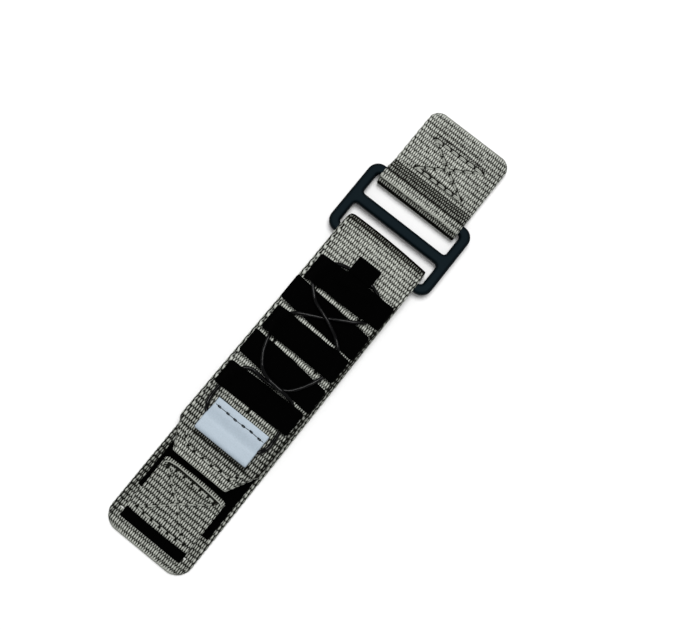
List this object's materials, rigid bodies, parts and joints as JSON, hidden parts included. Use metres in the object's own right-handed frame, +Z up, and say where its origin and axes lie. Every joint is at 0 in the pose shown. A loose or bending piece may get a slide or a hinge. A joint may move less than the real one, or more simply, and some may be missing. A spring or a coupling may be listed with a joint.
{
  "type": "watch strap",
  "caption": "Woven nylon hook-and-loop watch strap lying closed: two-slot buckle, pull tab, rounded tail, and a black band ladder laced with round elastic.",
  "frame": {"origin": "centre of the strap's footprint, on the surface that it lies on", "axes": "+Y along the strap from its rounded tail to the pull tab, +X across it, +Z up out of the laced face"},
  "size_m": [0.0318, 0.1322, 0.0085],
  "materials": {
    "nylon_webbing": "grey woven nylon webbing, coarse rows",
    "loop_tape": "black looped pile, matte",
    "hook_tape": "black nylon hooks",
    "black_tape": "black brushed tape, matte",
    "coated_metal": "satin blue-black coating",
    "elastic_cord": "black braided elastic cord",
    "reflective_tape": "pale blue-grey reflective tape"
  },
  "bodies": {
    "back": {"back_webbing": "nylon_webbing", "loop_tape": "loop_tape", "end_patch": "nylon_webbing", "end_strip": "black_tape"},
    "buckle": {"buckle": "coated_metal"},
    "pull_tab": {"pull_tab": "nylon_webbing"},
    "front": {"front_webbing": "nylon_webbing", "hook_tape": "hook_tape", "ladder_band_1": "black_tape", "ladder_band_2": "black_tape", "ladder_band_3": "black_tape", "ladder_band_4": "black_tape", "ladder_band_5": "black_tape", "lace_top_tab": "black_tape", "elastic_lace": "elastic_cord"},
    "reflective_tab": {"reflective_tab": "reflective_tape"}
  },
  "joints": [
    {"name": "front_peel", "type": "hinge", "parent": "back", "child": "front", "pos_m": [0, 0.02278, 0.0052], "axis": [-1, 0, 0], "range_deg": [0, 90]},
    {"name": "buckle_tilt", "type": "hinge", "parent": "back", "child": "buckle", "pos_m": [0, 0.02527, 0.0026], "axis": [1, 0, 0], "range_deg": [0, 45]},
    {"name": "pull_tab_swing", "type": "hinge", "parent": "buckle", "child": "pull_tab", "pos_m": [0, 0.04408, 0.0026], "axis": [1, 0, 0], "range_deg": [0, 60]},
    {"name": "reflective_tab_lift", "type": "hinge", "parent": "front", "child": "reflective_tab", "pos_m": [0, -0.02618, 0.0055], "axis": [-1, 0, 0], "range_deg": [0, 40], "deforming": ["elastic_lace"]}
  ]
}
